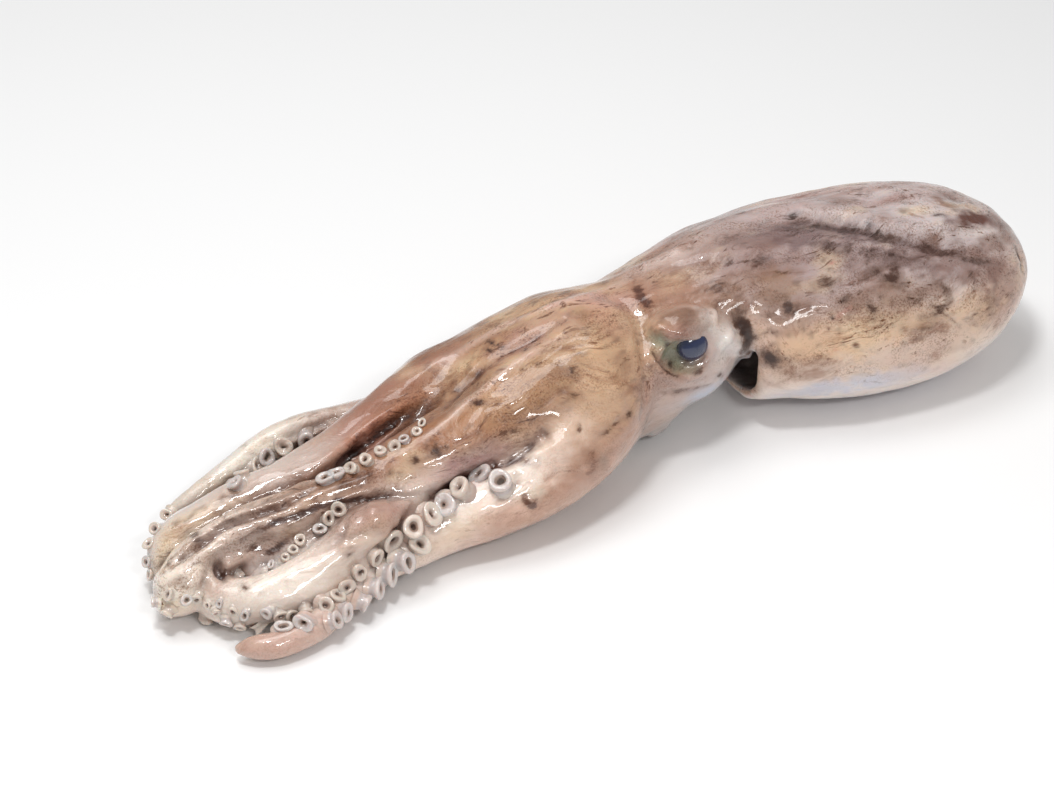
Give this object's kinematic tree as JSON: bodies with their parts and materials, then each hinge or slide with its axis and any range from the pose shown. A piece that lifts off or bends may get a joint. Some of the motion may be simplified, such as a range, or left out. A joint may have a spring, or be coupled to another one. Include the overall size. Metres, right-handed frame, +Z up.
{
  "type": "whole raw octopus",
  "caption": "Whole raw octopus lying on its underside: blunt mantle, lidded eyes, funnel, and eight suckered arms drawn together in front of the head.",
  "frame": {"origin": "middle of the bounding box at the level of the surface that the octopus lies on", "axes": "+X from the arm tips to the closed end of the mantle, +Y towards the animal's right side, +Z up"},
  "size_m": [0.3961, 0.1204, 0.0741],
  "materials": {
    "skin": "wet glossy"
  },
  "bodies": {
    "root": {"octopus": "skin"}
  },
  "joints": []
}
